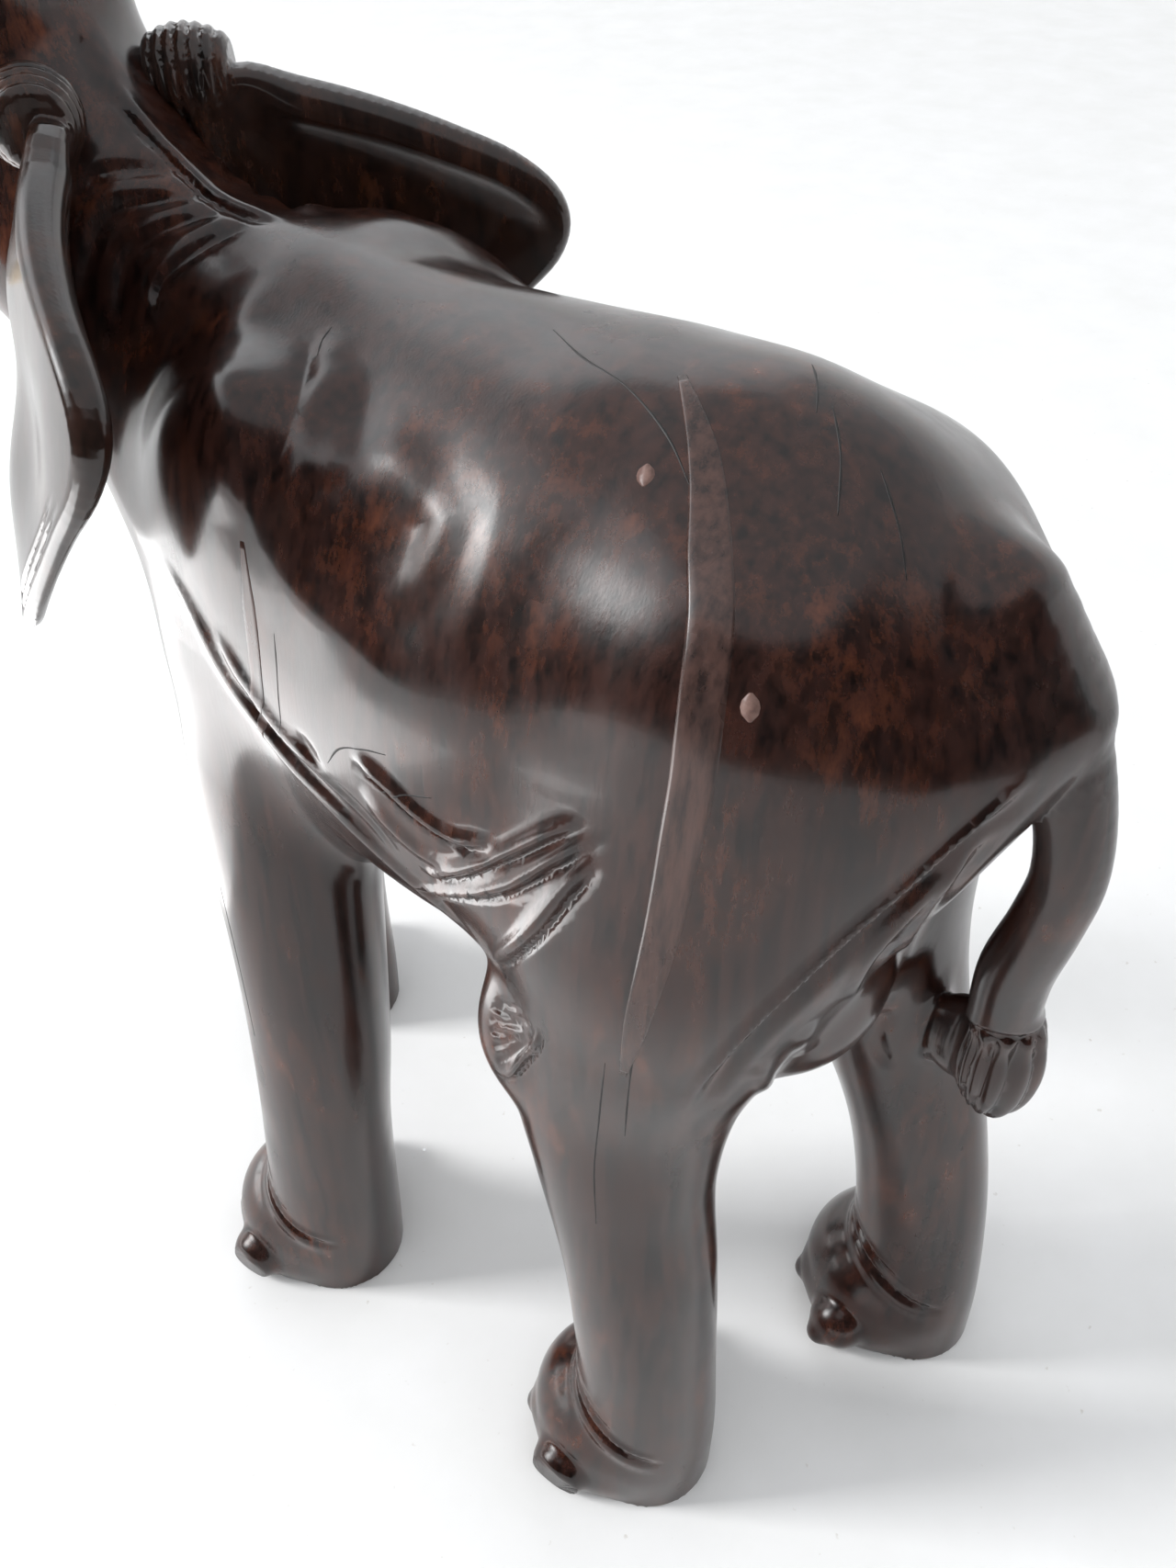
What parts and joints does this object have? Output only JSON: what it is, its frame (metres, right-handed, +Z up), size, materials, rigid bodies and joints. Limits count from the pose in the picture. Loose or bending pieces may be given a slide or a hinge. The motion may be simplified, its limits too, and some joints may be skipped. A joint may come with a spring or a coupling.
{
  "type": "carved elephant statue",
  "caption": "Free-standing carved wooden elephant, striding with raised trunk, spread ears and a curved tail joined to the hind leg.",
  "frame": {"origin": "centre of the bounding box in plan, on the floor under the soles", "axes": "+Z up; the elephant faces -Y; its left side is +X"},
  "size_m": [0.2814, 0.698, 0.7982],
  "materials": {
    "dark_wood": "polished",
    "ear_wood": "polished",
    "strip_wood": "polished",
    "tusk_wood": "satin",
    "filler": "satin"
  },
  "bodies": {
    "root": {"body": "dark_wood", "left_ear": "ear_wood", "right_ear": "ear_wood", "left_tusk": "tusk_wood", "right_tusk": "tusk_wood", "flank_strip": "strip_wood", "shoulder_strip": "strip_wood", "flank_plug": "filler", "hip_plug": "filler"}
  },
  "joints": []
}
